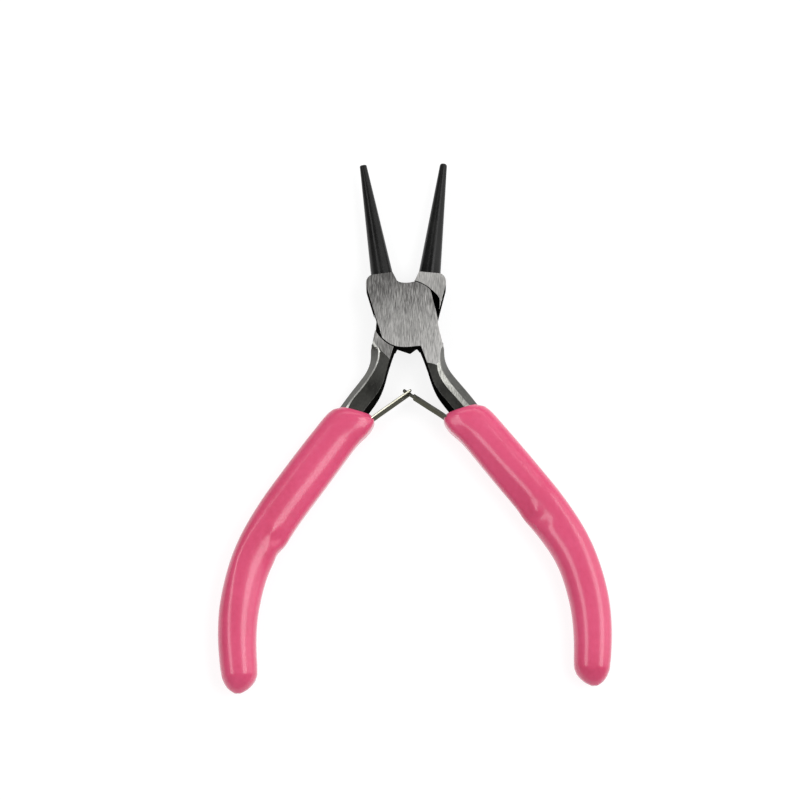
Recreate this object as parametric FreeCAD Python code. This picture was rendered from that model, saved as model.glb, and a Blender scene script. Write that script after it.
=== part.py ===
# Round nose pliers, 126 mm long closed, with a lap joint, two interlocking leaf
# return springs and dipped soft grips.
#
# Frame: the origin is on the pivot axis, in the plane the pliers lie on.
#   +Y runs from the pivot to the jaw tips, +Z is the flat front of the joint,
#   +X completes the frame.  The pliers are modelled sprung open, at rest.
# The front half is the left jaw, the front lap plate and the right handle.
# The rear half is the same forging turned half a turn about the long axis,
# with the lower edge of its lap plate trimmed to a shallow V.
import FreeCAD, Part
import math
import os

V = FreeCAD.Vector

# ---------------------------------------------------------------- dimensions
T = 8.6                  # thickness over the ground flats of the joint
MID = T / 2.0            # parting plane of the lap joint
LAP_GAP = 0.05           # each lap face stands this far off the parting plane

PLATE_R = 7.78           # outside radius of a lap plate
POCKET_R = 7.97          # radius of the pocket the other plate turns in

JAW_LEN = 26.28          # cone from its shoulder to the tip
JAW_BASE_R = 2.52
JAW_TIP_R = 0.78
JAW_BASE = (-5.32, 9.5)  # axis of the front half's cone at the shoulder
JAW_TIP = (-9.15, 35.5)
JAW_ROOT = 1.2           # length of cone buried in the shoulder

RIVET_R = 2.5            # pivot rivet
RIVET_HEAD_R = 3.6
RIVET_HEAD_H = 1.1
RIVET_RECESS = 0.05
RIVET_TOP = 7.8          # blind bore in the front plate stops here
RUN_FIT = 0.04           # radial running clearance in the rear plate

GRIP_HALF_T = 4.25       # half thickness of a grip

LEAF_T = 0.5             # leaf spring stock
LEAF_W = 5.8
LEAF_PIVOT = (7.9, -22.8)
LEAF_ANGLE = 145.6       # direction of the right leaf's free part at rest
LEAF_TIP_TONGUE = 10.95  # length from the root bend to the tongue's end
LEAF_TIP_FORK = 10.35    # length from the root bend to the fork's end
TONGUE_W = 2.0
TONGUE_START = 8.2       # where the right leaf narrows to its tongue
FORK_GAP = 2.7
FORK_START = 7.5         # bottom of the left leaf's slot
LEAF_CLEAR = 0.5         # the free part starts this far from the bend

SPRING_RIVET_R = 0.8
SPRING_HEAD_R = 1.5
SPRING_HEAD_H = 0.5

# ------------------------------------------------------------------- helpers
def v(x, y, z=0.0):
    return V(x, y, z)

def polar(r, deg, z=0.0):
    a = math.radians(deg)
    return V(r * math.cos(a), r * math.sin(a), z)

def spline(points):
    c = Part.BSplineCurve()
    c.interpolate([V(p[0], p[1], p[2] if len(p) > 2 else 0.0) for p in points])
    return c.toShape()

def line(a, b):
    return Part.makeLine(V(a[0], a[1], 0), V(b[0], b[1], 0))

def arc(r, d0, d1):
    return Part.Arc(polar(r, d0), polar(r, 0.5 * (d0 + d1)), polar(r, d1)).toShape()

def prism(edges, z0, z1):
    w = Part.Wire(Part.__sortEdges__(edges))
    f = Part.Face(w)
    f.translate(V(0, 0, z0))
    return f.extrude(V(0, 0, z1 - z0))

def poly_prism(pts, z0, z1):
    w = Part.makePolygon([V(p[0], p[1], z0) for p in pts] + [V(pts[0][0], pts[0][1], z0)])
    return Part.Face(w).extrude(V(0, 0, z1 - z0))

def one(shape):
    s = shape.removeSplitter()
    sols = sorted(s.Solids, key=lambda q: -q.Volume)
    if len(sols) > 1 and sols[1].Volume > 0.02:
        print("pieces", [round(q.Volume, 3) for q in sols])
    return sols[0]

# ------------------------------------------------------------- forged halves
# Outline of the front lap plate with its jaw shoulder and handle root.
NOTCH = [(-3, 9.78), (-2.62, 9.05), (-2.28, 8.34), (-2.05, 7.87), (-1.72, 7.58), (-1.3, 7.41),
         (-0.7, 7.29), (0, 7.24), (0.8, 7.27), (1.5, 7.4)]
RIGHT_EDGE = [(5.5, 5.29), (5.8, 4.07), (6.1, 2.54), (6.5, 1.02), (6.86, -0.81), (6.98, -1.73),
         (7.05, -2.64), (7.26, -3.76), (7.55, -5.09), (7.85, -6.41), (8.05, -7.42)]
BOTTOM = [(3.12, -7.26), (2, -7.34), (1, -7.43), (0, -7.49), (-1, -7.48), (-2, -7.36), (-3.2, -7),
         (-4.3, -6.38), (-5, -5.82), (-5.62, -5.24)]
SHOULDER = [(-8.75, 6), (-9, 7.12), (-8.85, 8.14), (-8.35, 8.87), (-7.8, 9.23)]

def plate_edges():
    n_end = polar(PLATE_R, 74.0)
    a_end = polar(PLATE_R, 47.3)
    notch = NOTCH + [(n_end.x, n_end.y)]
    e = [spline(notch), arc(PLATE_R, 74.0, 47.3),
         line((a_end.x, a_end.y), RIGHT_EDGE[0]), spline(RIGHT_EDGE),
         line(RIGHT_EDGE[-1], BOTTOM[0]), spline(BOTTOM),
         line(BOTTOM[-1], SHOULDER[0]), spline(SHOULDER),
         line(SHOULDER[-1], NOTCH[0])]
    return e

# Handle forging: stations down the shank and tang.
# centre x, y, direction of the outward normal, then for each station
#   inner edge at the parting plane, inner edge of the face, start of the crest,
#   ridge, outer edge at the parting plane (all along the normal)
#   height above the parting plane of: parting flat, face edge, crest, ridge, outer flat
#   and the same crest and ridge for the other face.
SHANK = [
    # cx,    cy,     ang,  u0,    u1,    u2,    u3,    u4,   h0,   h1,   h2,   h3,   h4,    b2,   b3,   g1,   g2,   g3
    (5.60,  -6.70,   0.0, -2.44, -2.40,  0.60,  2.18,  2.44, 0.50, 4.80, 4.90, 4.85, 3.90,  1.20, 1.60, 4.70, 4.60, 4.50),
    (5.59,  -8.00,   5.0, -2.63, -2.18,  0.55,  1.98,  2.63, 0.40, 4.70, 4.80, 4.75, 2.70,  0.72, 1.07, 4.50, 4.30, 4.20),
    (5.89,  -9.16,  12.0, -2.42, -2.06,  0.38,  1.42,  2.42, 0.35, 4.56, 4.70, 4.62, 1.90,  0.42, 0.77, 4.38, 4.16, 4.04),
    (6.15, -10.36,  14.5, -2.27, -1.96,  0.25,  1.15,  2.27, 0.35, 4.36, 4.52, 4.42, 1.50,  0.38, 0.71, 4.20, 3.98, 3.86),
    (6.54, -11.65,  18.5, -2.23, -1.95,  0.00,  0.88,  2.23, 0.35, 4.08, 4.32, 4.12, 1.20,  0.46, 0.79, 4.00, 3.80, 3.66),
    (7.03, -13.06,  22.5, -2.34, -2.06, -0.28,  0.74,  2.34, 0.35, 3.80, 4.08, 3.80, 1.05,  0.68, 1.01, 3.76, 3.62, 3.44),
    (7.72, -14.59,  28.0, -2.57, -2.22, -0.40,  0.81,  2.57, 0.35, 3.56, 3.84, 3.52, 0.95,  0.94, 1.28, 3.50, 3.42, 3.22),
    (8.66, -16.29,  35.0, -2.83, -2.20, -0.27,  0.98,  2.83, 0.40, 3.34, 3.60, 3.28, 0.90,  1.18, 1.52, 3.28, 3.22, 3.02),
    (9.97, -18.11,  40.0, -2.97, -2.12, -0.11,  1.10,  2.97, 0.60, 3.20, 3.40, 3.08, 0.90,  1.34, 1.68, 3.14, 3.08, 2.88),
    (11.99, -20.70,  41.5, -2.98, -2.12,  0.00,  1.15,  2.98, 1.20, 3.10, 3.22, 2.94, 0.90,  1.40, 1.78, 3.06, 2.98, 2.80),
]
# tang inside the grip: centre, normal direction, half width, half thickness
TANG = [
    (14.90, -24.60, 41.3, 3.00, 3.05), (17.14, -27.15, 39.9, 2.92, 3.00),
    (20.28, -31.14, 38.7, 2.90, 2.95), (23.39, -35.09, 38.6, 2.90, 2.92),
    (26.25, -38.75, 38.3, 2.90, 2.90), (29.11, -42.46, 37.0, 2.88, 2.86),
    (31.65, -46.04, 34.9, 2.82, 2.80), (33.90, -49.65, 31.9, 2.72, 2.72),
    (35.90, -53.41, 26.6, 2.60, 2.64), (37.30, -57.05, 20.6, 2.50, 2.56),
    (38.23, -60.21, 15.8, 2.42, 2.50), (38.97, -63.29, 12.2, 2.34, 2.44),
    (39.52, -66.33, 8.1, 2.26, 2.38), (39.82, -69.38, 4.0, 2.16, 2.30),
    (39.94, -72.43, 0.3, 2.02, 2.20), (39.86, -75.48, -2.6, 1.80, 2.05),
]

def section_wire(cx, cy, ang, uz):
    a = math.radians(ang)
    pts = [V(cx + u * math.cos(a), cy + u * math.sin(a), MID + z) for u, z in uz]
    return Part.makePolygon(pts + [pts[0]])

def handle_loft():
    wires = []
    for (cx, cy, ang, u0, u1, u2, u3, u4, h0, h1, h2, h3, h4, b2, b3, g1, g2, g3) in SHANK:
        uz = [(u0, h0), (u1, h1), (u2, h2), (u3, h3), (u4, h4),
              (u4, -h4), (b3, -g3), (b2, -g2), (u1, -g1), (u0, -h0)]
        wires.append(section_wire(cx, cy, ang, uz))
    for (cx, cy, ang, w, t) in TANG:
        f0 = t - 0.3
        uz = [(-w, f0), (-w + 0.4, t), (0.05 * w, t), (0.55 * w, 0.92 * t), (w, 0.34 * t),
              (w, -0.34 * t), (0.55 * w, -0.92 * t), (0.05 * w, -t), (-w + 0.4, -t), (-w, -f0)]
        wires.append(section_wire(cx, cy, ang, uz))
    return Part.makeLoft(wires, True, False)

# pocket at the back of the front half, where the rear plate turns
def pocket():
    wall = [(-7.0, -0.92), (-7.28, 0.61), (-7.43, 2.03), (-7.52, 3.36)]
    p_in = polar(POCKET_R, 134.0)
    up = [(-7.52, 3.36), (-7.07, 4.15), (-6.47, 4.85), (p_in.x, p_in.y)]
    p80 = polar(POCKET_R, 80.0)
    p25 = polar(POCKET_R, -24.94)
    c = polar(POCKET_R, -72.0)
    e = [line((-14, -0.92), wall[0]), spline(wall), spline(up), arc(POCKET_R, 134.0, 80.0),
         line((p80.x, p80.y), (3, 14)), line((3, 14), (14, 14)), line((14, 14), (14, p25.y)),
         line((14, p25.y), (p25.x, p25.y)), arc(POCKET_R, -24.94, -72.0),
         line((c.x, c.y), (0.9, -8.7)), line((0.9, -8.7), (0.9, -14)),
         line((0.9, -14), (-14, -14)), line((-14, -14), (-14, -0.92))]
    return prism(e, -2.0, MID + LAP_GAP)

def jaw(round_tip):
    d = V(JAW_TIP[0] - JAW_BASE[0], JAW_TIP[1] - JAW_BASE[1], 0)
    d.normalize()
    base = V(JAW_BASE[0], JAW_BASE[1], MID)
    taper = (JAW_BASE_R - JAW_TIP_R) / JAW_LEN
    r0 = JAW_BASE_R + taper * JAW_ROOT
    c = Part.makeCone(r0, JAW_TIP_R, JAW_LEN + JAW_ROOT, base - d * JAW_ROOT, d)
    tip = [e for e in c.Edges if e.Curve.TypeId == "Part::GeomCircle" and abs(e.Curve.Radius - JAW_TIP_R) < 1e-6]
    try:
        c = c.makeFillet(0.55 if round_tip else 0.22, tip)
    except Exception:
        pass
    return c

def forging(round_tip):
    plate = prism(plate_edges(), 0.0, T)
    slab = Part.makeBox(140, 200, T, V(-60, -120, 0))
    handle = handle_loft().common(slab)
    body = plate.fuse(jaw(round_tip)).fuse(handle)
    body = body.cut(pocket())
    return one(body)

def to_rear(shape):
    s = shape.copy()
    s.rotate(V(0, 0, MID), V(0, 1, 0), 180.0)
    return s

front = forging(False)
rear = to_rear(forging(True))

# the rear plate's lower edge is trimmed to a shallow V
VEE_APEX = (0.6, -7.5)
for flank in ([(-2.75, -7.35), (-2.3, -6.45), VEE_APEX, (0.2, -9.0), (-2.6, -9.0)],
              [VEE_APEX, (2.1, -6.42), (2.55, -6.9), (2.75, -7.5), (2.0, -9.0), (0.8, -9.0)]):
    rear = one(rear.cut(poly_prism(flank, -1.0, MID - LAP_GAP + 0.001)))

# ------------------------------------------------------------- pivot rivet
shank_rivet = Part.makeCylinder(RIVET_R, RIVET_TOP - RIVET_RECESS, V(0, 0, RIVET_RECESS))
head = Part.makeCone(RIVET_HEAD_R, RIVET_R, RIVET_HEAD_H, V(0, 0, RIVET_RECESS), V(0, 0, 1))
pivot = one(shank_rivet.fuse(head))
bore_rear = Part.makeCylinder(RIVET_R + RUN_FIT, T, V(0, 0, -1))
bore_head = Part.makeCone(RIVET_HEAD_R + RUN_FIT * 1.6 + (RIVET_RECESS + 1.0) * (RIVET_HEAD_R - RIVET_R) / RIVET_HEAD_H,
                          RIVET_R, RIVET_RECESS + 1.0 + RIVET_HEAD_H + 0.0, V(0, 0, -1.0), V(0, 0, 1))
bore_head = bore_head.common(Part.makeBox(20, 20, 4, V(-10, -10, -1)))
# the countersink runs with the same clearance as the bore
bore_head.translate(V(0, 0, 0.06))
rear = one(rear.cut(bore_rear.common(Part.makeBox(20, 20, MID + 1.0, V(-10, -10, -1)))).cut(bore_head))
front = one(front.cut(Part.makeCylinder(RIVET_R, RIVET_TOP, V(0, 0, 0))))

# -------------------------------------------------------------- leaf springs
# Root of the right leaf: a strip on edge that lies in a shallow groove along
# the inner side of the tang and leaves the grip at its mouth.
ROOT_PATH = [(8.12, -23.05), (12.45, -27.43), (16.0, -31.09), (18.02, -32.94), (21.12, -36.94),
             (24.0, -40.64), (26.86, -44.21), (28.1, -46.04)]

def offset_curve(path, d, n=60):
    c = Part.BSplineCurve()
    c.interpolate([V(p[0], p[1], 0) for p in path])
    a, b = c.FirstParameter, c.LastParameter
    out = []
    for i in range(n + 1):
        t = a + (b - a) * i / n
        p = c.value(t); g = c.tangent(t)[0]
        out.append((p.x - g.y * d, p.y + g.x * d))
    return out

def band(path, d0, d1, z0, z1, n=30):
    A = offset_curve(path, d0, n); B = offset_curve(path, d1, n)
    e = [spline(A), line(A[-1], B[-1]), spline(B[::-1]), line(B[0], A[0])]
    return prism(e, z0, z1)

root_right = band(ROOT_PATH, -LEAF_T / 2, LEAF_T / 2, MID - LEAF_W / 2, MID + LEAF_W / 2)

def leaf_arm(fork):
    # built along +X from the bend, strip standing on edge
    L = LEAF_TIP_FORK if fork else LEAF_TIP_TONGUE
    x0 = LEAF_CLEAR
    s = Part.makeBox(L - x0, LEAF_T, LEAF_W, V(x0, -LEAF_T / 2, -LEAF_W / 2))
    if fork:
        s = s.cut(Part.makeBox(L, 4, FORK_GAP, V(FORK_START, -2, -FORK_GAP / 2)))
    else:
        for sgn in (-1, 1):
            z = TONGUE_W / 2 if sgn > 0 else -LEAF_W
            s = s.cut(Part.makeBox(L, 4, LEAF_W - TONGUE_W / 2, V(TONGUE_START, -2, z)))
    return s

def place_right_arm(s):
    s = s.copy()
    s.rotate(V(0, 0, 0), V(0, 0, 1), LEAF_ANGLE)
    s.translate(V(LEAF_PIVOT[0], LEAF_PIVOT[1], MID))
    return s

def mirror_x(shape):
    m = shape.mirror(V(0, 0, 0), V(1, 0, 0))
    return m

arm_right = place_right_arm(leaf_arm(False))
arm_left = mirror_x(place_right_arm(leaf_arm(True)))
root_left = mirror_x(root_right)

# rivets that hold the leaf roots to the tangs
def spring_rivet():
    cx, cy, ang, w, t = TANG[3]
    a = math.radians(ang)
    n = V(math.cos(a), math.sin(a), 0)
    face = V(cx, cy, MID) - n * (w + 0.36)           # outside of the leaf
    body = Part.makeCylinder(SPRING_RIVET_R, w + 0.9, face, n)
    hd = Part.makeCylinder(SPRING_HEAD_R, SPRING_HEAD_H, face - n * SPRING_HEAD_H, n)
    try:
        outer = [e for e in hd.Edges if e.Curve.TypeId == "Part::GeomCircle" and
                 (e.Curve.Center - (face - n * SPRING_HEAD_H)).Length < 1e-6]
        hd = hd.makeFillet(0.3, outer)
    except Exception:
        pass
    return one(body.fuse(hd))

sriv_right = spring_rivet()
sriv_left = mirror_x(sriv_right)

front = one(front.cut(root_right).cut(sriv_right))
rear = one(rear.cut(root_left).cut(sriv_left))
root_right = one(root_right.cut(sriv_right))
root_left = one(root_left.cut(sriv_left))

# --------------------------------------------------------------------- grips
# stations: centre, direction of the section, half width, half thickness, squareness
G = [
    (12.00, -21.70, 17.0, 3.95, 3.62, 3.0), (12.30, -22.18, 17.0, 4.98, 4.12, 3.0),
    (13.32, -23.62, 27.3, 5.03, 4.24, 3.0), (14.60, -24.87, 40.0, 4.84, 4.25, 3.0),
    (16.83, -27.42, 39.9, 4.84, 4.25, 3.0), (19.97, -31.39, 38.7, 4.93, 4.25, 3.0),
    (23.08, -35.35, 38.6, 4.98, 4.25, 3.0), (25.94, -39.00, 38.3, 4.97, 4.25, 3.0),
    (28.79, -42.70, 37.0, 4.97, 4.25, 3.0), (31.32, -46.27, 34.9, 4.93, 4.25, 3.0),
    (33.67, -49.81, 31.9, 4.80, 4.25, 3.0), (35.74, -53.48, 26.6, 4.62, 4.25, 3.0),
    (37.25, -57.07, 20.6, 4.52, 4.25, 3.0), (38.23, -60.21, 15.8, 4.49, 4.25, 3.0),
    (38.97, -63.29, 12.2, 4.48, 4.25, 3.0), (39.52, -66.33, 8.1, 4.43, 4.25, 3.0),
    (39.82, -69.38, 4.0, 4.37, 4.25, 3.0), (39.94, -72.43, 0.3, 4.31, 4.25, 3.0),
    (39.88, -75.48, -2.6, 4.23, 4.25, 3.0), (39.70, -78.53, -4.0, 4.16, 4.22, 3.0),
    (39.55, -80.77, -4.0, 3.98, 4.10, 3.0), (39.57, -82.15, -3.0, 3.42, 3.66, 2.9),
    (39.72, -83.20, -2.0, 2.62, 2.96, 2.8), (39.90, -84.02, 0.0, 1.66, 2.06, 2.6),
    (40.00, -84.48, 0.0, 0.70, 1.00, 2.4),
]

def grip_section(cx, cy, ang, hw, ht, n):
    a = math.radians(ang)
    pts = []
    N = 28
    for i in range(N):
        t = 2 * math.pi * i / N
        c, s = math.cos(t), math.sin(t)
        u = hw * math.copysign(abs(c) ** (2.0 / n), c)
        w = ht * math.copysign(abs(s) ** (2.0 / n), s)
        pts.append(V(cx + u * math.cos(a), cy + u * math.sin(a), MID + w))
    c = Part.BSplineCurve()
    c.interpolate(pts, PeriodicFlag=True)
    return Part.Wire(c.toShape())

grip = Part.makeLoft([grip_section(*g) for g in G], True, False)
plain_handle = handle_loft()
cavity = plain_handle.fuse(band(ROOT_PATH, -LEAF_T / 2, LEAF_T / 2, MID - LEAF_W / 2, MID + LEAF_W / 2))
# the leaf leaves the grip through a short slot that is a little wider than the leaf
cavity = cavity.fuse(sriv_right)
mouth = poly_prism([(8.7, -24.3), (8.0, -24.7), (6.1, -23.1), (6.5, -21.1), (8.5, -21.3), (9.3, -22.9)],
                   MID - LEAF_W / 2 - 0.35, MID + LEAF_W / 2 + 0.35)
grip_right = one(grip.cut(cavity).cut(mouth))
plain_left = mirror_x(handle_loft())
# the left tang is the same forging turned over, so its two faces swap
turned = to_rear(handle_loft())
cav_left = turned.fuse(root_left.fuse(sriv_left)).fuse(
    mirror_x(band(ROOT_PATH, -LEAF_T / 2, LEAF_T / 2, MID - LEAF_W / 2, MID + LEAF_W / 2)))
grip_left = one(mirror_x(grip).cut(cav_left).cut(mirror_x(mouth)))

# -------------------------------------------------------------------- output
os.makedirs("parts", exist_ok=True)
NODES = {
    "front_half": front,
    "rear_half": rear,
    "pivot_rivet": pivot,
    "right_leaf_root": root_right,
    "left_leaf_root": root_left,
    "right_leaf_arm": one(arm_right),
    "left_leaf_arm": one(arm_left),
    "right_spring_rivet": sriv_right,
    "left_spring_rivet": one(sriv_left),
    "right_grip": grip_right,
    "left_grip": grip_left,
}
for name, shape in NODES.items():
    b = shape.BoundBox
    print(name, shape.isValid(), len(shape.Solids), round(shape.Volume, 2),
          [round(q, 2) for q in (b.XMin, b.YMin, b.ZMin, b.XMax, b.YMax, b.ZMax)])
    shape.exportStep("parts/%s.step" % name)
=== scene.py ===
import math
import bpy
import bmesh
import numpy as np
from mathutils import Vector, Matrix


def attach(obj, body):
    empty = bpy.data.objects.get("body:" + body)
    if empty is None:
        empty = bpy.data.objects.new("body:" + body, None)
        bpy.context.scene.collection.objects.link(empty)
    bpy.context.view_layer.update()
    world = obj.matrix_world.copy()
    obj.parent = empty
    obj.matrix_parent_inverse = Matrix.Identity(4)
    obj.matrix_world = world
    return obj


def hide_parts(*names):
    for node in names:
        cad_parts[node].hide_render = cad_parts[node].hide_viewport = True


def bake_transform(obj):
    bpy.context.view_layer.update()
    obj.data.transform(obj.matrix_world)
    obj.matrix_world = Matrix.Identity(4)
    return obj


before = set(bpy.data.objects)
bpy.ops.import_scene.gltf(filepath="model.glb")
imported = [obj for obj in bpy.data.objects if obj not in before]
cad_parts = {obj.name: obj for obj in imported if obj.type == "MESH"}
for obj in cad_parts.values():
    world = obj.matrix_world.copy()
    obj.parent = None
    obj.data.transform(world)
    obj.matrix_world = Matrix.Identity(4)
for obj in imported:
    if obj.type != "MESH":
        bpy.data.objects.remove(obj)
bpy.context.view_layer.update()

# Round nose pliers lying on their back face.  Frame of the CAD: +Y to the jaw
# tips, +Z out of the front face, origin on the pivot axis at the back plane.
MM = 0.001
MID = 4.3

scene = bpy.context.scene


# ------------------------------------------------------------------ materials
class Mat:
    """A small helper around one node tree."""

    def __init__(self, name):
        self.m = bpy.data.materials.new(name)
        self.m.use_nodes = True
        self.nt = self.m.node_tree
        self.nt.nodes.clear()
        self.out = self.nt.nodes.new("ShaderNodeOutputMaterial")
        self.p = self.nt.nodes.new("ShaderNodeBsdfPrincipled")
        self.nt.links.new(self.p.outputs[0], self.out.inputs["Surface"])
        self.tc = self.nt.nodes.new("ShaderNodeTexCoord")

    def set(self, **kw):
        for k, v in kw.items():
            k = k.replace("_", " ")
            self.p.inputs[k].default_value = v
        return self

    def mapping(self, scale, rot=(0, 0, 0), loc=(0, 0, 0)):
        n = self.nt.nodes.new("ShaderNodeMapping")
        n.inputs["Scale"].default_value = scale
        n.inputs["Rotation"].default_value = rot
        n.inputs["Location"].default_value = loc
        self.nt.links.new(self.tc.outputs["Object"], n.inputs["Vector"])
        return n.outputs["Vector"]

    def noise(self, vec, scale=1.0, detail=3.0, rough=0.5, distortion=0.0):
        n = self.nt.nodes.new("ShaderNodeTexNoise")
        n.inputs["Scale"].default_value = scale
        n.inputs["Detail"].default_value = detail
        n.inputs["Roughness"].default_value = rough
        n.inputs["Distortion"].default_value = distortion
        self.nt.links.new(vec, n.inputs["Vector"])
        return n.outputs["Fac"]

    def ramp(self, fac, stops, interp="LINEAR"):
        n = self.nt.nodes.new("ShaderNodeValToRGB")
        n.color_ramp.interpolation = interp
        e = n.color_ramp.elements
        while len(e) < len(stops):
            e.new(0.5)
        for el, (pos, col) in zip(e, stops):
            el.position = pos
            el.color = (*col, 1) if len(col) == 3 else col
        self.nt.links.new(fac, n.inputs["Fac"])
        return n.outputs["Color"]

    def remap(self, fac, a, b, lo=0.0, hi=1.0):
        n = self.nt.nodes.new("ShaderNodeMapRange")
        n.inputs["From Min"].default_value = lo
        n.inputs["From Max"].default_value = hi
        n.inputs["To Min"].default_value = a
        n.inputs["To Max"].default_value = b
        self.nt.links.new(fac, n.inputs["Value"])
        return n.outputs["Result"]

    def math(self, op, a, b):
        n = self.nt.nodes.new("ShaderNodeMath")
        n.operation = op
        for i, x in enumerate((a, b)):
            if hasattr(x, "is_output"):
                self.nt.links.new(x, n.inputs[i])
            else:
                n.inputs[i].default_value = x
        return n.outputs[0]

    def mix(self, fac, a, b, blend="MIX"):
        n = self.nt.nodes.new("ShaderNodeMix")
        n.data_type = "RGBA"
        n.blend_type = blend
        for idx, x in ((0, fac), (6, a), (7, b)):
            if hasattr(x, "is_output"):
                self.nt.links.new(x, n.inputs[idx])
            elif idx == 0:
                n.inputs[idx].default_value = x
            else:
                n.inputs[idx].default_value = (*x, 1)
        return n.outputs[2]

    def bump(self, height, strength, distance, normal=None):
        n = self.nt.nodes.new("ShaderNodeBump")
        n.inputs["Strength"].default_value = strength
        n.inputs["Distance"].default_value = distance
        self.nt.links.new(height, n.inputs["Height"])
        if normal is not None:
            self.nt.links.new(normal, n.inputs["Normal"])
        return n.outputs["Normal"]

    def bevel(self, radius):
        n = self.nt.nodes.new("ShaderNodeBevel")
        n.samples = 6
        n.inputs["Radius"].default_value = radius
        return n.outputs["Normal"]

    def geometry(self, name):
        n = self.nt.nodes.new("ShaderNodeNewGeometry")
        return n.outputs[name]

    def separate(self, vec):
        n = self.nt.nodes.new("ShaderNodeSeparateXYZ")
        self.nt.links.new(vec, n.inputs[0])
        return n.outputs

    def link(self, src, socket):
        self.nt.links.new(src, self.p.inputs[socket])
        return self


def ground_steel(name, dark, light, streak, dash=1.0, painted_reflection_fade=0.0, skin=None):
    """Flat faces ground bright: fine short grinding lines along Y, with a slow change of tone, and, if asked, a
    painted gradient of reflected light that makes the flat lighter at one end along Y.

    skin: (line, inner line, side colour, face colour, crest colour) where the forged skin still
    shows on the flat beyond two sloping lines, as at the top of a handle shank. The side colour is
    painted light, a lighter tone for the outer side, and the crest colour is a painted highlight along the line."""
    m = Mat(name)
    m.set(Metallic=1.0, Anisotropic=0.35)
    fine = m.noise(m.mapping((8600, 640 * dash, 900), rot=(0, 0, 0.04)), 1.0, 4.0, 0.62, 0.4)
    coarse = m.noise(m.mapping((4600, 480 * dash, 300), rot=(0, 0, 0.03)), 1.0, 3.0, 0.6, 0.4)
    patch = m.noise(m.mapping((120, 90, 110)), 1.0, 3.0, 0.55)
    both = m.math("ADD", m.math("MULTIPLY", fine, 0.76), m.math("MULTIPLY", coarse, 0.24))
    both = m.math("ADD", m.math("MULTIPLY", both, streak), m.math("MULTIPLY", patch, 1.0 - streak))
    place = m.separate(m.tc.outputs["Object"])
    # painted reflection: the flat lighter towards one end along Y and darker towards the other
    if painted_reflection_fade:
        both = m.math("ADD", both, m.remap(place[1], painted_reflection_fade, -painted_reflection_fade, -0.009, 0.009))
    mid = tuple(0.55 * a + 0.45 * b for a, b in zip(dark, light))
    colour = m.ramp(both, [(0.38, dark), (0.50, mid), (0.64, light)])
    if skin:
        (ax, ay, aslope), (bx, by, bslope, bside), side, face, crest = skin
        ragged = m.math("MULTIPLY", m.math("SUBTRACT", m.noise(m.mapping((2600, 900, 900)), 1.0, 3.0, 0.6), 0.5), 0.0005)

        def beyond(x0, y0, slope):
            d = m.math("ADD", m.math("SUBTRACT", place[1], y0), m.math("MULTIPLY", m.math("SUBTRACT", place[0], x0), slope))
            return m.math("ADD", d, ragged)

        da, db = beyond(ax, ay, aslope), beyond(bx, by, bslope)
        near_top = m.remap(place[2], 0.0, 1.0, 0.0070, 0.0080)
        on_face = m.math("MULTIPLY", m.remap(db, 1.0, 0.0, -0.0002, 0.0002), m.remap(place[0], 0.0, 1.0, bside - 0.0001, bside + 0.0001))
        # painted light: beyond the first line the skin takes the lighter side tone
        on_painted_lit_side = m.remap(da, 1.0, 0.0, -0.0002, 0.0002)
        # painted highlight: a bright band along the first line, where a ridge would catch the light
        on_painted_crest_highlight = m.math("MULTIPLY", m.remap(da, 0.0, 1.0, -0.0010, -0.0004), m.remap(da, 1.0, 0.0, 0.0001, 0.0004))
        below = m.remap(place[1], 1.0, 0.0, ay - 0.0006, ay + 0.0002)
        colour = m.mix(m.math("MULTIPLY", on_face, near_top), colour, face)
        colour = m.mix(m.math("MULTIPLY", on_painted_lit_side, near_top), colour, side)
        colour = m.mix(m.math("MULTIPLY", m.math("MULTIPLY", on_painted_crest_highlight, near_top), below), colour, crest)
    m.link(colour, "Base Color")
    m.link(m.remap(coarse, 0.30, 0.48), "Roughness")
    m.link(m.bump(fine, 0.35, 0.00002, m.bevel(0.00010)), "Normal")
    return m.m


def black_steel(name, dark, light, rough_lo, rough_hi, spec=0.5, metallic=0.0, edge=0.00018, wear_and_edge_highlight=None):
    """Blackened forging: satin, with a faint grain, lighter patches and, if asked, edges made bright, partly as
    rubbing from use and partly as a painted edge highlight.
    """
    m = Mat(name)
    m.set(Metallic=metallic)
    m.p.inputs["Specular IOR Level"].default_value = spec
    grain = m.noise(m.mapping((2600, 1500, 2600)), 1.0, 4.0, 0.6)
    cloud = m.noise(m.mapping((240, 160, 240)), 1.0, 3.0, 0.55)
    tone = m.math("ADD", m.math("MULTIPLY", grain, 0.4), m.math("MULTIPLY", cloud, 0.6))
    colour = m.ramp(tone, [(0.36, dark), (0.64, light)])
    rounded_normal = m.bevel(edge)
    # edges painted bright: partly rubbing from use, partly a painted highlight along the edges
    if wear_and_edge_highlight:
        dot = m.nt.nodes.new("ShaderNodeVectorMath")
        dot.operation = "DOT_PRODUCT"
        m.nt.links.new(m.bevel(0.00016), dot.inputs[0])
        m.nt.links.new(m.geometry("True Normal"), dot.inputs[1])
        rubbed_and_lit_edge = m.remap(dot.outputs["Value"], 0.0, 1.0, 0.985, 0.90)
        spots = m.remap(m.noise(m.mapping((900, 900, 900)), 1.0, 3.0, 0.6), 0.0, 1.0, 0.40, 0.58)
        colour = m.mix(m.math("MULTIPLY", m.math("MULTIPLY", rubbed_and_lit_edge, spots), 0.75), colour, wear_and_edge_highlight)
    m.link(colour, "Base Color")
    m.link(m.remap(cloud, rough_lo, rough_hi, 0.3, 0.7), "Roughness")
    m.link(m.bump(grain, 0.18, 0.00003, rounded_normal), "Normal")
    return m.m


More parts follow.
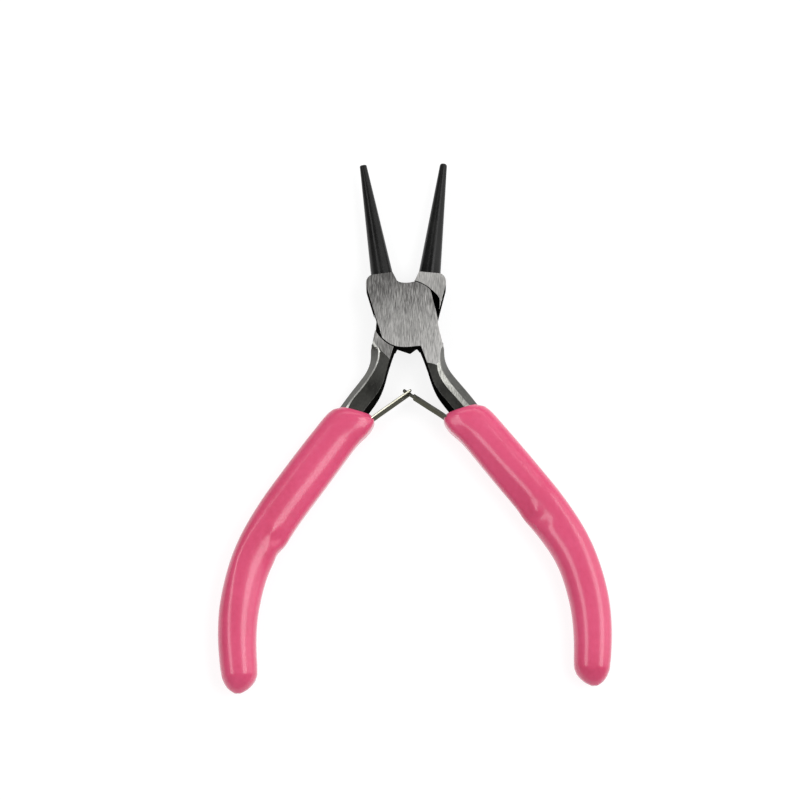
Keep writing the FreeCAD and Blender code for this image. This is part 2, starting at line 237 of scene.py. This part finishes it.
def soft_plastic(name, dark, mid, light):
    """Dipped soft vinyl: satin gloss, faint orange peel, slight thickness of colour."""
    m = Mat(name)
    m.set(Roughness=0.34)
    m.p.inputs["Specular IOR Level"].default_value = 0.25
    m.p.inputs["Coat Weight"].default_value = 0.75
    m.p.inputs["Coat Roughness"].default_value = 0.19
    m.p.inputs["Subsurface Weight"].default_value = 0.12
    m.p.inputs["Subsurface Radius"].default_value = (0.0012, 0.0004, 0.0005)
    m.p.inputs["Subsurface Scale"].default_value = 1.0
    cloud = m.noise(m.mapping((70, 45, 70)), 1.0, 3.0, 0.5)
    speck = m.noise(m.mapping((900, 900, 900)), 1.0, 3.0, 0.6)
    tone = m.math("ADD", m.math("MULTIPLY", cloud, 0.7), m.math("MULTIPLY", speck, 0.3))
    m.link(m.ramp(tone, [(0.36, dark), (0.5, mid), (0.66, light)]), "Base Color")
    peel = m.noise(m.mapping((420, 420, 420)), 1.0, 2.0, 0.5)
    fine = m.noise(m.mapping((2600, 2600, 2600)), 1.0, 2.0, 0.5)
    m.link(m.remap(speck, 0.30, 0.42), "Roughness")
    h = m.math("ADD", peel, m.math("MULTIPLY", fine, 0.15))
    m.link(m.bump(h, 0.12, 0.00012), "Normal")
    return m.m


def spring_strip(name):
    """Cold rolled spring strip: bright, faint rolling lines along its length."""
    m = Mat(name)
    m.set(Metallic=1.0, Anisotropic=0.3)
    m.p.inputs["Specular Tint"].default_value = (0.30, 0.30, 0.26, 1)
    lines = m.noise(m.mapping((500, 500, 7000)), 1.0, 3.0, 0.6)
    cloud = m.noise(m.mapping((600, 600, 600)), 1.0, 3.0, 0.6)
    m.link(m.ramp(lines, [(0.3, (0.072, 0.072, 0.062)), (0.7, (0.145, 0.144, 0.126))]), "Base Color")
    m.link(m.remap(cloud, 0.24, 0.38), "Roughness")
    m.link(m.bump(lines, 0.15, 0.00002), "Normal")
    return m.m


def leaf_edge_painted_highlight(name):
    """Edge of the spring strip painted bright: a painted highlight, cream to near white."""
    m = Mat(name)
    m.set(Metallic=1.0)
    lines = m.noise(m.mapping((300, 300, 300)), 1.0, 2.0, 0.5)
    m.link(m.ramp(lines, [(0.35, (0.90, 0.88, 0.72)), (0.65, (1.0, 0.98, 0.84))]), "Base Color")
    m.link(m.remap(lines, 0.42, 0.52), "Roughness")
    m.link(m.bump(lines, 0.05, 0.00001), "Normal")
    return m.m


# the sixth number given to ground_steel sets a painted gradient of reflected light along Y
GROUND = ground_steel("ground_flat", (0.125, 0.122, 0.118), (0.70, 0.69, 0.67), 0.84, 0.85, 0.095)
# rear flats: the skin's side colour is painted light and its crest colour is a painted highlight
GROUND_B = ground_steel("ground_flat_rear", (0.20, 0.197, 0.19), (0.62, 0.61, 0.59), 0.84, 1.0, -0.06,
                        ((-0.007887, -0.005707, 1.685), (-0.00626, -0.00755, 1.65, -0.00640),
                         (0.075, 0.075, 0.068), (0.045, 0.045, 0.040), (0.70, 0.70, 0.66)))
BLACK = black_steel("black_jaw", (0.0040, 0.0040, 0.0039), (0.0130, 0.0130, 0.0126), 0.22, 0.34, 0.21)
# the shank's edges are painted bright, partly as rubbing from use and partly as a painted edge highlight
GUN = black_steel("gunmetal_shank", (0.014, 0.014, 0.012), (0.044, 0.044, 0.038), 0.26, 0.40, 0.32, 0.20, 0.00018, (0.34, 0.34, 0.32))
# painted light: a lighter, more metallic copy of the shank's black finish, for the chamfers facing outwards
OUTER_PAINTED_LIGHT = black_steel("gunmetal_side_painted_light", (0.050, 0.050, 0.045), (0.125, 0.125, 0.113), 0.32, 0.46, 0.40, 0.45)
CREST = ground_steel("ground_crest", (0.06, 0.06, 0.056), (0.44, 0.44, 0.41), 0.70, 2.0)
# painted highlight: a much brighter copy of the ground crest, for the crest of the far shank
CREST_FAR_PAINTED_HIGHLIGHT = ground_steel("ground_crest_far_painted_highlight", (0.30, 0.30, 0.28), (0.95, 0.95, 0.90), 0.6, 2.0)
# black oxide with painted shade: near black and with no reflection, for the inner walls, the laps and the walls of
# the joint
PIT_BLACK_AND_SHADE = black_steel("pocket_black_and_painted_shade", (0.0030, 0.0030, 0.0027), (0.0090, 0.0090, 0.0080), 0.50, 0.62, 0.0)
RIVET = ground_steel("rivet_face", (0.09, 0.09, 0.086), (0.40, 0.40, 0.39), 0.5)
PINK = soft_plastic("grip_vinyl", (0.645, 0.062, 0.150), (0.71, 0.076, 0.181), (0.755, 0.090, 0.206))
STRIP = spring_strip("leaf_strip")
EDGE = leaf_edge_painted_highlight("leaf_edge_painted_highlight")


# ------------------------------------------------------------- mesh utilities
def new_object(name, verts, faces, material, smooth=True):
    me = bpy.data.meshes.new(name)
    me.from_pydata([tuple(v) for v in verts], [], faces)
    me.validate()
    me.update()
    o = bpy.data.objects.new(name, me)
    scene.collection.objects.link(o)
    me.materials.append(material)
    bm = bmesh.new()
    bm.from_mesh(me)
    bmesh.ops.recalc_face_normals(bm, faces=bm.faces)
    bm.to_mesh(me)
    bm.free()
    if smooth:
        for p in me.polygons:
            p.use_smooth = True
    return o


def natural_spline(x, y, xi):
    """Natural cubic spline through (x, y), sampled at xi."""
    x = np.asarray(x, float)
    y = np.asarray(y, float)
    n = len(x)
    h = np.diff(x)
    A = np.zeros((n, n))
    b = np.zeros(n)
    A[0, 0] = A[-1, -1] = 1
    for i in range(1, n - 1):
        A[i, i - 1] = h[i - 1]
        A[i, i] = 2 * (h[i - 1] + h[i])
        A[i, i + 1] = h[i]
        b[i] = 6 * ((y[i + 1] - y[i]) / h[i] - (y[i] - y[i - 1]) / h[i - 1])
    m = np.linalg.solve(A, b)
    k = np.clip(np.searchsorted(x, xi) - 1, 0, n - 2)
    d = xi - x[k]
    hk = h[k]
    a0 = y[k]
    a1 = (y[k + 1] - y[k]) / hk - hk * (2 * m[k] + m[k + 1]) / 6
    a2 = m[k] / 2
    a3 = (m[k + 1] - m[k]) / (6 * hk)
    return a0 + d * (a1 + d * (a2 + d * a3))


G = [
    (12.00, -21.70, 17.0, 3.95, 3.62), (12.30, -22.18, 17.0, 4.98, 4.12),
    (13.32, -23.62, 27.3, 5.03, 4.24), (14.60, -24.87, 40.0, 4.84, 4.25),
    (16.83, -27.42, 39.9, 4.84, 4.25), (19.97, -31.39, 38.7, 4.93, 4.25),
    (23.08, -35.35, 38.6, 4.98, 4.25), (25.94, -39.00, 38.3, 4.97, 4.25),
    (28.79, -42.70, 37.0, 4.97, 4.25), (31.32, -46.27, 34.9, 4.93, 4.25),
    (33.67, -49.81, 31.9, 4.80, 4.25), (35.74, -53.48, 26.6, 4.62, 4.25),
    (37.25, -57.07, 20.6, 4.52, 4.25), (38.23, -60.21, 15.8, 4.49, 4.25),
    (38.97, -63.29, 12.2, 4.48, 4.25), (39.52, -66.33, 8.1, 4.43, 4.25),
    (39.82, -69.38, 4.0, 4.37, 4.25), (39.94, -72.43, 0.3, 4.31, 4.25),
    (39.88, -75.48, -2.6, 4.23, 4.25), (39.70, -78.53, -4.0, 4.16, 4.22),
    (39.55, -80.77, -4.0, 3.98, 3.95), (39.57, -82.15, -3.0, 3.42, 3.20),
    (39.72, -83.20, -2.0, 2.62, 2.35), (39.90, -84.02, 0.0, 1.66, 1.50),
    (40.00, -84.48, 0.0, 0.70, 0.70),
]


def smoothstep(x, a, b):
    t = np.clip((x - a) / (b - a), 0, 1)
    return t * t * (3 - 2 * t)


def soften(a, passes=3):
    a = a.copy()
    for _ in range(passes):
        b = a.copy()
        b[1:-1] = (a[:-2] + 2 * a[1:-1] + a[2:]) / 4
        a = b
    return a


RING = 112


def quarter(u0, w, t, n, count=30):
    """Quarter of a squared ellipse from (w, 0) up to (u0, t)."""
    ph = np.linspace(0, math.pi / 2, count, endpoint=False)
    return np.column_stack([u0 + (w - u0) * np.cos(ph) ** (2 / n), t * np.sin(ph) ** (2 / n)])


def close_below(up):
    return np.vstack([up, up[1:-1][::-1] * np.array([1.0, -1.0])])


def upper_section(w, t, ridge, drop, soft, inner_r):
    """Over the leaf root: a domed outer face, a soft ridge, and a steeper inner face."""
    beta = math.atan2(drop, ridge + w)
    u0 = ridge + soft * math.tan(beta / 2)
    top = quarter(u0, w, t, 2.75)
    th = np.linspace(0, beta, 14)
    arc = np.column_stack([u0 - soft * np.sin(th), t - soft + soft * np.cos(th)])
    line = w * math.sin(beta) + (t - drop) * math.cos(beta)
    r = inner_r
    while True:
        zc = (line - r + math.sin(beta) * (r - w)) / math.cos(beta)
        if zc > 0.02 or r < 0.2:
            break
        r *= 0.94
    th = np.linspace(beta, math.pi / 2, 14)
    corner = np.column_stack([-w + r - r * np.sin(th), zc + r * np.cos(th)])
    return close_below(np.vstack([top, arc, corner, [[-w, 0.0]]]))


def lower_section(w, t, crest, square):
    """Past the leaf root: a domed top between two rounded sides."""
    outer = quarter(crest, w, t, square)
    inner = quarter(-crest, w, t, 2.4)[::-1] * np.array([-1.0, 1.0])
    return close_below(np.vstack([outer, [[crest, t]], inner]))


def centre_start(half_outline, n):
    """Resample so that point 0 is the outer side at mid height."""
    x, y = half_outline[:, 0], half_outline[:, 1]
    loop = np.vstack([half_outline, half_outline[:1]])
    d = np.concatenate([[0], np.cumsum(np.hypot(*np.diff(loop, axis=0).T))])
    # place where the outline crosses y = 0 on the outer side
    start = None
    for i in range(len(loop) - 1):
        y0, y1 = loop[i, 1], loop[i + 1, 1]
        if loop[i, 0] > 0 and loop[i + 1, 0] > 0 and y0 <= 0 < y1:
            f = -y0 / (y1 - y0)
            start = d[i] + f * (d[i + 1] - d[i])
    q = (start + np.linspace(0, d[-1], n + 1)[:-1]) % d[-1]
    return np.column_stack([np.interp(q, d, loop[:, 0]), np.interp(q, d, loop[:, 1])])


def grip_mesh(name, sign, ridge, hook, notch, shape, lean=0.0):
    """hook: (y of the end of the ridge, length over which the inner side changes)."""
    g = np.array(G)
    s = np.concatenate([[0], np.cumsum(np.hypot(np.diff(g[:, 0]), np.diff(g[:, 1])))])
    total = s[-1]
    ss = np.concatenate([np.linspace(0, s[3], 16)[:-1], np.linspace(s[3], s[19], 150)[:-1],
                         np.linspace(s[19], total, 36)])
    cx = natural_spline(s, g[:, 0], ss)
    cy = natural_spline(s, g[:, 1], ss)
    an = soften(np.interp(ss, s, g[:, 2]), 4)
    w = soften(np.interp(ss, s, g[:, 3]), 4)
    t = soften(np.interp(ss, s, g[:, 4]), 9)
    rk = np.interp(cy, [r[0] for r in ridge][::-1], [r[1] for r in ridge][::-1])
    rk = soften(rk, 6)
    crest = soften(np.interp(-cy, [-c[0] for c in shape["crest"]], [c[1] for c in shape["crest"]]), 8)
    fall = soften(np.interp(-cy, [-c[0] for c in shape["fall"]], [c[1] for c in shape["fall"]]), 6)
    soft = np.interp(-cy, [20, hook[0] - 5.5, hook[0] - 3.2, hook[0] - 1.2, 90],
                     [shape["soft"], shape["soft"], shape["soft_end"], shape["soft_tip"], shape["soft_tip"]])
    full = 1 - smoothstep(-cy, 22.5, 27.0)
    rings = []
    for i in range(len(ss)):
        a = math.radians(an[i])
        nx, ny = math.cos(a), math.sin(a)
        wi, ti = w[i], t[i]
        k = min(1.0, wi / 4.2)
        up = centre_start(upper_section(wi, ti, rk[i] * k, fall[i] * (1 - 0.45 * full[i]), soft[i] * k, 2.2 - 0.5 * full[i]), RING)
        lo = centre_start(lower_section(wi, ti, crest[i] * k, shape["square"]), RING)
        # the outer side changes slowly from one shape to the other, the inner side at the hook
        f_out = smoothstep(-cy[i], hook[0] - 9, hook[0] + 9)
        f_in = smoothstep(-cy[i], hook[0] - hook[1] / 2, hook[0] + hook[1] / 2)
        side = smoothstep(-(up[:, 0] + lo[:, 0]) / 2, -0.6, 1.6)
        f = (f_out * (1 - side) + f_in * side)[:, None]
        sec = up * (1 - f) + lo * f
        # the vinyl sags over the inner side just past the end of the leaf root
        g0, o0, before, after, across, deep = shape["sag"]
        dip = math.exp(-((cy[i] - g0) / (before if cy[i] > g0 else after)) ** 2) * np.exp(-((sec[:, 0] - o0) / across) ** 2)
        sec[:, 1] -= deep * dip * smoothstep(sec[:, 1], 0.5, 3.0)
        rings.append(np.column_stack([cx[i] + nx * sec[:, 0], cy[i] + ny * sec[:, 0], MID + sec[:, 1]]))
    rings = np.array(rings)
    m = rings.shape[1]

    # local dents and swellings, as smooth displacements of the rings
    for (px, py, pz, rad, dx, dy, dz) in notch:
        d2 = ((rings[:, :, 0] - px) ** 2 + (rings[:, :, 1] - py) ** 2 + (rings[:, :, 2] - pz) ** 2) / rad ** 2
        f = np.exp(-d2)
        rings[:, :, 0] += dx * f
        rings[:, :, 1] += dy * f
        rings[:, :, 2] += dz * f

    # rolled lip at the mouth and a short wall going in to the steel
    first = rings[0]
    a = math.radians(an[0])
    nx, ny = math.cos(a), math.sin(a)
    tang = np.array([-ny, nx, 0.0])       # out of the mouth
    centre = np.array([cx[0], cy[0], MID])
    lip = []
    for scale, out in ((0.97, 0.16), (0.92, 0.27), (0.865, 0.30), (0.815, 0.24), (0.775, 0.08), (0.75, -0.2), (0.73, -0.9), (0.70, -1.8)):
        lip.append(centre + (first - centre) * scale + tang * out)
    allr = np.concatenate([np.array(lip[::-1]), rings])
    verts = allr.reshape(-1, 3)
    faces = []
    nr = allr.shape[0]
    for i in range(nr - 1):
        for j in range(m):
            jj = (j + 1) % m
            faces.append((i * m + j, i * m + jj, (i + 1) * m + jj, (i + 1) * m + j))
    c0 = len(verts)
    verts = np.vstack([verts, allr[0].mean(0), allr[-1].mean(0)])
    for j in range(m):
        jj = (j + 1) % m
        faces.append((j, c0, jj))
        faces.append(((nr - 1) * m + j, (nr - 1) * m + jj, c0 + 1))
    # a hand-dipped pair is never quite alike: one grip leans in a little towards its end
    verts[:, 0] -= lean * smoothstep(-verts[:, 1], 22.0, 62.0)
    verts[:, 0] *= sign
    return new_object(name, verts * MM, faces, PINK)


RIDGE_R = [(-20.0, -2.0), (-24.0, -1.7), (-31.0, -1.2), (-39.0, -0.9), (-42.8, -0.8), (-44.0, -1.1),
           (-45.2, -1.5), (-46.2, -2.0), (-86.0, -2.0)]
RIDGE_L = [(-20.0, -2.2), (-24.0, -2.0), (-31.0, -1.6), (-41.0, -1.1), (-49.0, -1.0), (-86.0, -1.0)]
SHAPE_R = {"fall": [(-20.0, 2.0), (-32.0, 2.1), (-38.0, 2.55), (-86.0, 2.55)], "soft": 4.6, "soft_end": 9.5, "soft_tip": 9.5, "square": 3.1, "sag": (-46.3, -2.0, 1.4, 1.4, 2.1, 0.24),
           "crest": [(-40.0, 0.6), (-50.0, 0.6), (-60.0, 0.2), (-86.0, 0.2)]}
SHAPE_L = {"fall": [(-20.0, 2.0), (-86.0, 2.2)], "soft": 7.2, "soft_end": 7.2, "soft_tip": 7.2, "square": 2.5, "sag": (-50.0, -1.5, 1.0, 1.0, 1.8, 0.0),
           "crest": [(-40.0, 2.3), (-55.0, 2.4), (-64.0, 1.0), (-72.0, 0.5), (-86.0, 0.3)]}

right = grip_mesh("right_grip_skin", 1.0, RIDGE_R, (46.6, 3.2), [
    (27.9, -45.0, 7.8, 1.25, -0.14, -0.08, 0.24),
    (26.3, -46.2, 4.6, 2.2, -0.28, -0.12, 0.0),
], SHAPE_R)
left = grip_mesh("left_grip_skin", -1.0, RIDGE_L, (49.6, 3.0), [
    (31.2, -48.5, 8.2, 1.4, -0.06, 0.0, 0.18),
    (30.1, -50.3, 7.2, 1.6, 0.14, 0.06, -0.32),
    (29.2, -51.4, 4.4, 2.4, -0.22, -0.10, 0.0),
    (30.4, -53.0, 4.4, 1.7, 0.45, 0.12, 0.0),
], SHAPE_L, lean=0.5)
for o, body, node in ((right, "front_body", "right_grip"), (left, "rear_body", "left_grip")):
    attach(o, body)
    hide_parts(node)


# -------------------------------------------------------------- return leaves
LEAF_T = 0.5
LEAF_W = 5.8
PIVOT = (7.9, -22.8)
ANGLE = math.radians(145.6)
ROOT_PATH = [(8.12, -23.05), (12.45, -27.43), (16.0, -31.09), (18.02, -32.94), (21.12, -36.94),
             (24.0, -40.64), (26.86, -44.21), (28.1, -46.04)]


def leaf_line():
    """Centre line of a leaf from its buried end to its free end: (s, x, y)."""
    pts = [np.array(p) for p in ROOT_PATH[::-1]]
    tip = np.array(PIVOT) + 10.95 * np.array([math.cos(ANGLE), math.sin(ANGLE)])
    pts[-1] = np.array(PIVOT) - 0.35 * np.array([math.cos(math.radians(137)), math.sin(math.radians(137))])
    for d in (0.8, 3.0, 6.0, 9.0, 10.95):
        pts.append(np.array(PIVOT) + d * np.array([math.cos(ANGLE), math.sin(ANGLE)]))
    P = np.array(pts)
    s = np.concatenate([[0], np.cumsum(np.hypot(*np.diff(P, axis=0).T))])
    return s, P


def leaf_mesh(name, sign, fork):
    s, P = leaf_line()
    bend = s[len(ROOT_PATH) - 1] + 0.35
    tip_s = bend + (10.35 if fork else 10.95)
    start = s[0] + 0.2
    if fork:
        zs = [-2.9, -1.35, 1.35, 2.9]
        cut0 = bend + 7.5
        def solid(smid, zmid):
            return not (smid > cut0 and abs(zmid) < 1.35)
    else:
        zs = [-2.9, -1.0, 1.0, 2.9]
        cut0 = bend + 8.2
        def solid(smid, zmid):
            return not (smid > cut0 and abs(zmid) > 1.0)
    ss = sorted(set([start, cut0, tip_s] + list(np.arange(start + 0.5, bend - 2, 0.8)) +
                    list(np.arange(bend - 2, cut0 - 0.2, 0.4)) + list(np.arange(cut0 + 0.4, tip_s - 0.2, 0.4))))
    bm = bmesh.new()
    grid = {}
    def vert(i, j, k):
        key = (i, j, k)
        if key not in grid:
            grid[key] = bm.verts.new((ss[i], (-0.5 + k) * LEAF_T, zs[j]))
        return grid[key]
    cells = {(i, j) for i in range(len(ss) - 1) for j in range(3)
             if solid((ss[i] + ss[i + 1]) / 2, (zs[j] + zs[j + 1]) / 2)}
    for (i, j) in cells:
        bm.faces.new([vert(i, j, 0), vert(i + 1, j, 0), vert(i + 1, j + 1, 0), vert(i, j + 1, 0)])
        bm.faces.new([vert(i, j, 1), vert(i, j + 1, 1), vert(i + 1, j + 1, 1), vert(i + 1, j, 1)])
        for (di, dj, a, b) in ((-1, 0, (i, j), (i, j + 1)), (1, 0, (i + 1, j), (i + 1, j + 1)),
                               (0, -1, (i, j), (i + 1, j)), (0, 1, (i, j + 1), (i + 1, j + 1))):
            if (i + di, j + dj) not in cells:
                bm.faces.new([vert(*a, 0), vert(*b, 0), vert(*b, 1), vert(*a, 1)])
    bmesh.ops.recalc_face_normals(bm, faces=bm.faces)
    # round the free corners of the plan shape, then break every sharp edge
    bm.edges.ensure_lookup_table()
    corner = [e for e in bm.edges if len(e.link_faces) == 2 and e.calc_face_angle() > 1.0
              and abs(e.verts[0].co.y - e.verts[1].co.y) > 0.3 and min(e.verts[0].co.x, e.verts[1].co.x) > cut0 - 0.05
              and e.is_convex]
    if corner:
        bmesh.ops.bevel(bm, geom=corner, offset=0.42, segments=5, profile=0.5, affect="EDGES", clamp_overlap=True)
    sharp = [e for e in bm.edges if len(e.link_faces) == 2 and e.calc_face_angle() > 0.9]
    bmesh.ops.bevel(bm, geom=sharp, offset=0.165, segments=3, profile=0.5, affect="EDGES", clamp_overlap=True)
    # bend the flat strip along its line
    xs = natural_spline(s, P[:, 0], np.array([v.co.x for v in bm.verts]))
    ys = natural_spline(s, P[:, 1], np.array([v.co.x for v in bm.verts]))
    x2 = natural_spline(s, P[:, 0], np.array([v.co.x + 0.01 for v in bm.verts]))
    y2 = natural_spline(s, P[:, 1], np.array([v.co.x + 0.01 for v in bm.verts]))
    for i, v in enumerate(bm.verts):
        tx, ty = x2[i] - xs[i], y2[i] - ys[i]
        L = math.hypot(tx, ty)
        nx, ny = -ty / L, tx / L
        off = v.co.y
        v.co = Vector((sign * (xs[i] + nx * off), ys[i] + ny * off, MID + v.co.z)) * MM
    bmesh.ops.recalc_face_normals(bm, faces=bm.faces)
    me = bpy.data.meshes.new(name)
    bm.to_mesh(me)
    bm.free()
    for p in me.polygons:
        p.use_smooth = True
    me.materials.append(STRIP)
    me.materials.append(EDGE)
    # only the flat edges of the forked leaf take the painted highlight material
    for p in me.polygons:
        if fork and abs(p.normal.z) > 0.9 and abs(p.center.z - MID * MM) > 2.6 * MM:
            p.material_index = 1
    o = bpy.data.objects.new(name, me)
    scene.collection.objects.link(o)
    mod = o.modifiers.new("wn", "WEIGHTED_NORMAL")
    mod.keep_sharp = True
    return o


for name, sign, fork, root, arm, bodies in (
        ("right_leaf_strip", 1.0, False, "right_leaf_root", "right_leaf_arm", ("front_body", "right_leaf")),
        ("left_leaf_strip", -1.0, True, "left_leaf_root", "left_leaf_arm", ("rear_body", "left_leaf"))):
    o = leaf_mesh(name, sign, fork)
    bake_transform(o)
    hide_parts(root, arm)


# ------------------------------------------------- materials on the CAD steel
def dress(node, table, default):
    """Give the polygons of a CAD node a material chosen by place and direction."""
    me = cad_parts[node].data
    me.materials.clear()
    mats = [default] + [m for m in table["mats"]]
    for m in mats:
        me.materials.append(m)
    for p in me.polygons:
        c = p.center / MM
        n = p.normal
        p.material_index = table["pick"](c, n)


# stations down the shank: centre x, y, direction of the outward normal, then along the
# normal the start of the face, start of the crest and ridge on the near side, and the
# crest and ridge on the far side
SHANK = [
    (5.60, -6.70, 0.0, -2.40, 0.60, 2.18, 1.20, 1.60), (5.59, -8.00, 5.0, -2.18, 0.55, 1.98, 0.72, 1.07),
    (5.89, -9.16, 12.0, -2.06, 0.38, 1.42, 0.42, 0.77), (6.15, -10.36, 14.5, -1.96, 0.25, 1.15, 0.38, 0.71),
    (6.54, -11.65, 18.5, -1.95, 0.00, 0.88, 0.46, 0.79), (7.03, -13.06, 22.5, -2.06, -0.28, 0.74, 0.68, 1.01),
    (7.72, -14.59, 28.0, -2.22, -0.40, 0.81, 0.94, 1.28), (8.66, -16.29, 35.0, -2.20, -0.27, 0.98, 1.18, 1.52),
    (9.97, -18.11, 40.0, -2.12, -0.11, 1.10, 1.34, 1.68), (11.99, -20.70, 41.5, -2.12, 0.00, 1.15, 1.40, 1.78),
    (14.90, -24.60, 41.3, -2.60, 0.15, 1.65, 0.15, 1.65),
]
SH = np.array(SHANK)


def across_shank(x, y):
    """(u, u1, u2, u3, b2, b3) of the nearest place along the shank, or None past its ends."""
    best = None
    for i in range(len(SH) - 1):
        a, b = SH[i, :2], SH[i + 1, :2]
        d = b - a
        f = float(np.clip((np.array([x, y]) - a) @ d / (d @ d), 0, 1))
        row = SH[i] + (SH[i + 1] - SH[i]) * f
        dist = math.hypot(x - row[0], y - row[1])
        if best is None or dist < best[0]:
            best = (dist, row)
    row = best[1]
    an = math.radians(row[2])
    u = (x - row[0]) * math.cos(an) + (y - row[1]) * math.sin(an)
    return (u, *row[3:])


def pick_half(front):
    def pick(c, n):
        x, y, z = c
        nx, ny, nz = n
        if not front:                     # the rear half is the front one turned over
            x, z = -x, 8.6 - z
            nx, nz = -nx, -nz
        if y > 9.3:
            if y < 9.56 or ny < -0.9:
                return 0
            return 2                      # jaw
        if (z > 8.57 and nz > 0.98) or (z < 0.03 and nz < -0.98):
            return 1                      # ground faces
        if y > -7.2 or x < 2.6:
            # these take the black material with painted shade
            return 3                      # lap faces and the walls of the joint
        u, u1, u2, u3, b2, b3 = across_shank(x, y)
        if z > MID:
            if u < u1 + 0.03 and nz < 0.75:
                # the inner wall takes the black material with painted shade
                return 3                  # inner wall
            if u2 - 0.05 < u < u3 + 0.05 and nz > 0.5:
                return 4
            # outward chamfer: the lighter copy, painted light
            return 5 if u > u3 - 0.05 else 0
        # the inner wall takes the black material with painted shade
        if u < u1 + 0.03 and nz > -0.75:
            return 3
        # far crest: the brighter copy, a painted highlight
        if b2 - 0.12 < u < b3 + 0.12 and nz < -0.5:
            return 6
        # outward chamfer: the lighter copy, painted light
        return 5 if u > b3 - 0.05 else 0
    return pick


dress("front_half", {"mats": [GROUND, BLACK, PIT_BLACK_AND_SHADE, CREST, OUTER_PAINTED_LIGHT, CREST_FAR_PAINTED_HIGHLIGHT], "pick": pick_half(True)}, GUN)
dress("rear_half", {"mats": [GROUND_B, BLACK, PIT_BLACK_AND_SHADE, CREST, OUTER_PAINTED_LIGHT, CREST_FAR_PAINTED_HIGHLIGHT], "pick": pick_half(False)}, GUN)
for node in ("pivot_rivet", "right_spring_rivet", "left_spring_rivet"):
    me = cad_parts[node].data
    me.materials.clear()
    me.materials.append(RIVET)


# ------------------------------------------------------- floor, light, camera
def floor():
    bm = bmesh.new()
    R = 3.0
    k = 24
    vs = [[bm.verts.new((R * (2 * i / k - 1), R * (2 * j / k - 1), -0.0002)) for j in range(k + 1)] for i in range(k + 1)]
    for i in range(k):
        for j in range(k):
            bm.faces.new([vs[i][j], vs[i + 1][j], vs[i + 1][j + 1], vs[i][j + 1]])
    me = bpy.data.meshes.new("floor")
    bm.to_mesh(me)
    bm.free()
    o = bpy.data.objects.new("floor", me)
    scene.collection.objects.link(o)
    m = Mat("floor_paper")
    m.set(Roughness=0.9)
    m.p.inputs["Specular IOR Level"].default_value = 0.1
    n = m.noise(m.mapping((3, 3, 3)), 1.0, 2.0, 0.5)
    m.link(m.ramp(n, [(0.3, (0.22, 0.22, 0.22)), (0.7, (0.25, 0.25, 0.25))]), "Base Color")
    m.p.inputs["Emission Color"].default_value = (1, 1, 1, 1)
    m.p.inputs["Emission Strength"].default_value = 0.83
    me.materials.append(m.m)
    return o


floor()


def area(name, loc, target, size, size_y, energy, color=(1, 1, 1)):
    l = bpy.data.lights.new(name, "AREA")
    l.shape = "RECTANGLE"
    l.size = size
    l.size_y = size_y
    l.energy = energy
    l.color = color
    o = bpy.data.objects.new(name, l)
    scene.collection.objects.link(o)
    z = (Vector(loc) - Vector(target)).normalized()
    x = Vector((0, 1, 0)).cross(z).normalized()
    o.matrix_world = Matrix.Translation(loc) @ Matrix((x, z.cross(x), z)).transposed().to_4x4()
    return o


aim = (0, -0.02, 0.004)
area("key_right", (0.48, -0.02, 0.92), aim, 0.40, 0.80, 4.4)
area("key_left", (-0.46, -0.02, 0.92), aim, 0.30, 0.80, 3.0)
area("side_right", (0.95, 0.20, 0.50), aim, 1.1, 1.0, 4.5)
area("top_soft", (0.10, 0.90, 0.80), aim, 1.0, 0.4, 2.2)

world = bpy.data.worlds.new("studio")
scene.world = world
world.use_nodes = True
bg = world.node_tree.nodes["Background"]
bg.inputs["Color"].default_value = (1, 1, 1, 1)
bg.inputs["Strength"].default_value = 0.25

th = math.radians(10.5)
al = math.radians(1.25)
s_, c_ = math.sin(th), math.cos(th)
b_ = Vector((0, -s_, c_))
r0 = Vector((1, 0, 0))
u0 = Vector((0, c_, s_))
r_ = r0 * math.cos(al) - u0 * math.sin(al)
u_ = r0 * math.sin(al) + u0 * math.cos(al)
P0 = Vector((0, 0, 0.0086))
C = P0 + r_ * (-1.5075 * MM) + u_ * (-19.305 * MM)
cam_data = bpy.data.cameras.new("camera")
cam_data.lens = 240
cam_data.sensor_width = 36
cam_data.clip_end = 20
cam = bpy.data.objects.new("camera", cam_data)
scene.collection.objects.link(cam)
rot = Matrix((r_, u_, b_)).transposed()
cam.matrix_world = Matrix.Translation(C + b_ * 1.2) @ rot.to_4x4()
scene.camera = cam
scene.view_settings.view_transform = "Standard"
scene.view_settings.look = "None"
scene.view_settings.exposure = 0.0
scene.view_settings.gamma = 1.0
